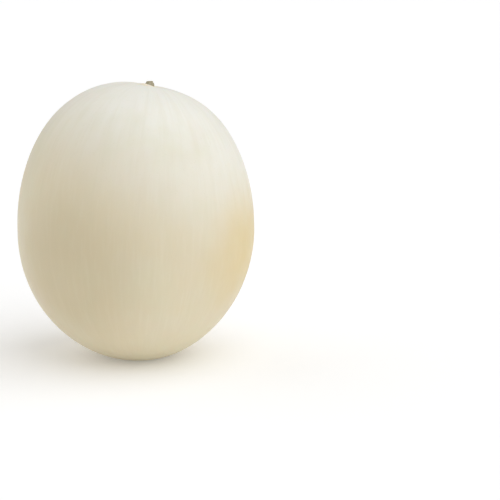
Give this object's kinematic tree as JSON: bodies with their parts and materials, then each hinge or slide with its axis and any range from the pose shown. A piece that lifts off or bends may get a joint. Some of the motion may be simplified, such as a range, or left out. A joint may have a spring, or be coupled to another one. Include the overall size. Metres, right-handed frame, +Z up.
{
  "type": "honeydew melon",
  "caption": "Whole honeydew melon with smooth ivory rind, egg-shaped, resting on a small flat spot at its blossom end, with a dried stalk stub at the top.",
  "frame": {"origin": "on the surface that the melon rests on, under the middle of its box and inside the flat spot", "axes": "+Z up from the blossom end to the stem end; the stalk stub leans towards +X and a little towards +Y; -Y is the front"},
  "size_m": [0.1598, 0.16, 0.187],
  "materials": {
    "rind": "satin, smooth waxy ivory rind with faint green and beige mottling",
    "stalk": "matte, dried olive-brown fibrous stalk"
  },
  "bodies": {
    "root": {"melon_fruit": "rind", "stem_stub": "stalk"}
  },
  "joints": []
}
